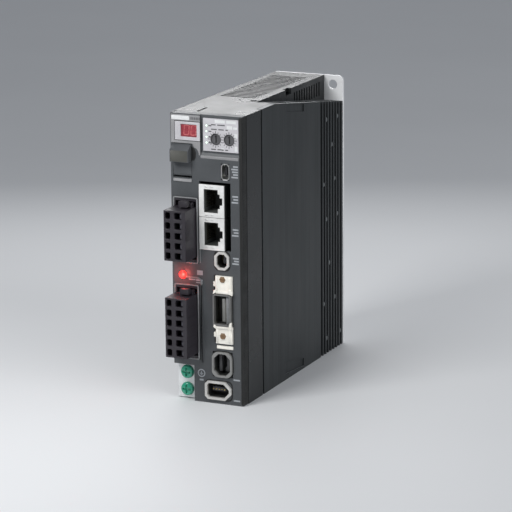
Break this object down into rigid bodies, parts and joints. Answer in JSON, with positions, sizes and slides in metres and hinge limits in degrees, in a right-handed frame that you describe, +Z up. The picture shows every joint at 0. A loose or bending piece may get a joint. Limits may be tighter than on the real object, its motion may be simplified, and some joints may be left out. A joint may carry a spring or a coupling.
{
  "type": "servo drive",
  "caption": "Narrow book-style AC servo drive with two pull-out terminal plugs, stacked network jacks, signal ports, a two-digit display, address dials and a finned side heat sink.",
  "frame": {"origin": "on the floor plane, under the middle of the overall box (plugs included)", "axes": "+Z up the height, -Y out of the front panel with the ports, +Y out of the mounting plate, +X to the right seen from the front, where the heat sink is"},
  "size_m": [0.04, 0.145, 0.15],
  "materials": {
    "cover_plastic": "fine spark-eroded grain, satin",
    "case_plastic": "fine grain, matt",
    "anodised_aluminium": "dark anodised, fine vertical extrusion lines",
    "plated_steel": "bright zinc plate",
    "label_grey": "light grey, satin",
    "red_lens": "translucent red",
    "component_black": "glass-filled moulding",
    "board_green": "solder mask",
    "clear_light_pipe": "clear moulded",
    "dial_grey": "satin",
    "nickel_shell": "nickel plate",
    "gold_contact": "gold flash",
    "ivory_plastic": "satin",
    "green_screw": "green passivated",
    "terminal_black": "glass-filled nylon",
    "tinned_copper": "tin plate",
    "pad_rubber": "soft silicone",
    "capacitor_sleeve": "shrink sleeve",
    "winding_tape": "tape over ferrite",
    "ferrite_core": "coated ferrite"
  },
  "bodies": {
    "drive": {"front_cover": "cover_plastic", "case_shell": "case_plastic", "heatsink": "anodised_aluminium", "back_plate": "plated_steel", "display_bezel": "label_grey", "display_window": "red_lens", "digit_display": "component_black", "display_board": "board_green", "label_panel": "label_grey", "status_lamps": "clear_light_pipe", "address_switch_left": "component_black", "address_switch_right": "component_black", "flap_pin": "plated_steel", "interlock_header": "component_black", "service_port_shell": "nickel_shell", "service_port_tongue": "component_black", "network_jack_upper": "nickel_shell", "network_jack_lower": "nickel_shell", "network_insert_upper": "component_black", "network_insert_lower": "component_black", "network_contacts_upper": "gold_contact", "network_contacts_lower": "gold_contact", "safety_port_shell": "nickel_shell", "safety_port_pins": "gold_contact", "signal_port_shell": "nickel_shell", "signal_port_tongue": "ivory_plastic", "signal_post_upper": "ivory_plastic", "signal_post_lower": "ivory_plastic", "signal_post_screws": "plated_steel", "scale_port_shell": "nickel_shell", "scale_port_pins": "gold_contact", "encoder_port_shell": "nickel_shell", "encoder_port_pins": "gold_contact", "charge_lamp": "red_lens", "earth_plate": "plated_steel", "earth_screws": "green_screw", "mains_header": "terminal_black", "mains_pins": "tinned_copper", "motor_header": "terminal_black", "motor_pins": "tinned_copper", "control_board": "board_green", "power_board": "board_green", "board_link": "component_black", "control_chips": "component_black", "power_module": "component_black", "thermal_pad": "pad_rubber", "module_screws": "plated_steel", "bulk_capacitors": "capacitor_sleeve", "inrush_relay": "component_black", "supply_transformer": "winding_tape", "line_choke": "ferrite_core"},
    "mains_plug": {"mains_plug": "terminal_black", "mains_clamps": "tinned_copper"},
    "mains_latch": {"mains_latch": "terminal_black"},
    "motor_plug": {"motor_plug": "terminal_black", "motor_clamps": "tinned_copper"},
    "motor_latch": {"motor_latch": "terminal_black"},
    "address_dial_left": {"address_dial_left": "dial_grey"},
    "address_dial_right": {"address_dial_right": "dial_grey"},
    "port_flap": {"port_flap": "cover_plastic"}
  },
  "joints": [
    {"name": "mains_plug_pull", "type": "slide", "parent": "drive", "child": "mains_plug", "axis": [0, -1, 0], "range_m": [0, 0.025]},
    {"name": "mains_latch_lift", "type": "hinge", "parent": "mains_plug", "child": "mains_latch", "pos_m": [-0.0098, -0.062, 0.1037], "axis": [-1, 0, 0], "range_deg": [0, 5], "stiffness_Nm_per_rad": 0.02},
    {"name": "motor_plug_pull", "type": "slide", "parent": "drive", "child": "motor_plug", "axis": [0, -1, 0], "range_m": [0, 0.025]},
    {"name": "motor_latch_lift", "type": "hinge", "parent": "motor_plug", "child": "motor_latch", "pos_m": [-0.0098, -0.062, 0.0583], "axis": [-1, 0, 0], "range_deg": [0, 5], "stiffness_Nm_per_rad": 0.02},
    {"name": "address_left_turn", "type": "hinge", "parent": "drive", "child": "address_dial_left", "pos_m": [0.0056, -0.0586, 0.1379], "axis": [0, -1, 0], "continuous": true},
    {"name": "address_right_turn", "type": "hinge", "parent": "drive", "child": "address_dial_right", "pos_m": [0.013, -0.0586, 0.1379], "axis": [0, -1, 0], "continuous": true},
    {"name": "port_flap_open", "type": "hinge", "parent": "drive", "child": "port_flap", "pos_m": [-0.01305, -0.05815, 0.119], "axis": [1, 0, 0], "range_deg": [0, 100]}
  ]
}
